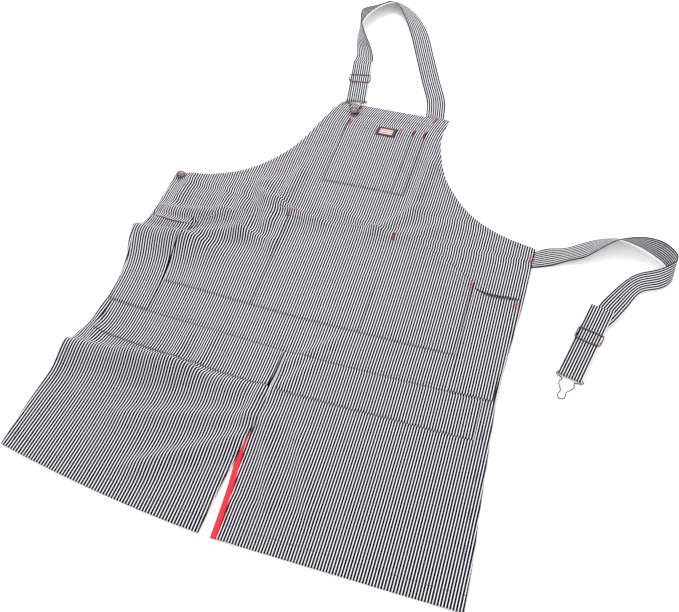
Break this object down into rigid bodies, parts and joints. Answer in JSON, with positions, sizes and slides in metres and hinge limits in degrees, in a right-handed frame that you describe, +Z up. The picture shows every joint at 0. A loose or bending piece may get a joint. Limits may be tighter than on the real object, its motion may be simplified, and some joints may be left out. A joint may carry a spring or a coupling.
{
  "type": "bib apron",
  "caption": "Striped twill work apron with bib, chest, front and leg pockets, slit hem, buttoned neck strap and waist strap, both with wire hooks and slides, lying flat.",
  "frame": {"origin": "on the surface that the apron lies on, under its centre line at the waist", "axes": "+Y from the hem to the bib along the stripes, +X to the side that the waist strap is sewn to, +Z up, out of the apron's face"},
  "size_m": [0.9291, 1.2653, 0.0393],
  "materials": {
    "twill": "woven cotton twill with narrow dark navy and white stripes",
    "facing_tape": "plain woven cotton tape, bright red",
    "bartack_thread": "dense zigzag of thread",
    "label": "woven label, navy with three pale bars",
    "hardware": "brushed antique copper"
  },
  "bodies": {
    "apron": {"body_panel": "twill", "leg_panel_right": "twill", "leg_panel_left": "twill", "bib_facing": "twill", "waist_facing_right": "twill", "waist_facing_left": "twill", "side_hem_right": "twill", "side_hem_left": "twill", "hem_right": "twill", "hem_left": "twill", "bib_pocket": "twill", "pouch_pocket": "twill", "side_pocket_right": "twill", "side_pocket_left": "twill", "pocket_band_right": "twill", "pocket_band_left": "twill", "leg_pocket_right": "twill", "leg_pocket_left": "twill", "neck_strap": "twill", "armhole_tape_right": "facing_tape", "armhole_tape_left": "facing_tape", "slit_tape_right": "facing_tape", "slit_tape_left": "facing_tape", "bib_pocket_tack_1": "bartack_thread", "bib_pocket_tack_2": "bartack_thread", "bib_pocket_tack_3": "bartack_thread", "bib_pocket_tack_4": "bartack_thread", "pouch_tack_left": "bartack_thread", "pouch_tack_right": "bartack_thread", "hand_tack_left": "bartack_thread", "hand_tack_right": "bartack_thread", "side_tack_left": "bartack_thread", "side_tack_right": "bartack_thread", "neck_strap_tack": "bartack_thread", "waist_strap_tack": "bartack_thread", "label": "label", "bib_button_tack": "hardware", "waist_button_tack": "hardware"},
    "waist_strap": {"waist_strap": "twill"},
    "waist_hook": {"waist_hook": "hardware"},
    "waist_slide": {"waist_slide": "hardware"},
    "neck_end": {"neck_strap_end": "twill", "neck_hook": "hardware"},
    "neck_slide": {"neck_slide": "hardware"},
    "bib_button": {"bib_button": "hardware"},
    "waist_button": {"waist_button": "hardware"}
  },
  "joints": [
    {"name": "waist_strap_lift", "type": "hinge", "parent": "apron", "child": "waist_strap", "pos_m": [0.3383, -0.0195, 0.0021], "axis": [0, -1, 0], "range_deg": [0, 100]},
    {"name": "waist_hook_swing", "type": "hinge", "parent": "waist_strap", "child": "waist_hook", "pos_m": [0.432, -0.236, 0.0037], "axis": [-0.9767, 0.2147, 0], "range_deg": [0, 120]},
    {"name": "waist_slide_travel", "type": "slide", "parent": "waist_strap", "child": "waist_slide", "axis": [-0.2147, -0.9767, 0], "range_m": [-0.012, 0.012]},
    {"name": "neck_end_travel", "type": "slide", "parent": "apron", "child": "neck_end", "axis": [0.1771, -0.9842, 0], "range_m": [-0.006, 0.001]},
    {"name": "neck_slide_travel", "type": "slide", "parent": "neck_end", "child": "neck_slide", "axis": [0.1771, -0.9842, 0], "range_m": [-0.012, 0.012]},
    {"name": "bib_button_spin", "type": "hinge", "parent": "apron", "child": "bib_button", "pos_m": [-0.0635, 0.259, 0.005], "axis": [0, 0, 1], "continuous": true},
    {"name": "waist_button_spin", "type": "hinge", "parent": "apron", "child": "waist_button", "pos_m": [-0.327, 0.004, 0.005], "axis": [0, 0, 1], "continuous": true}
  ]
}
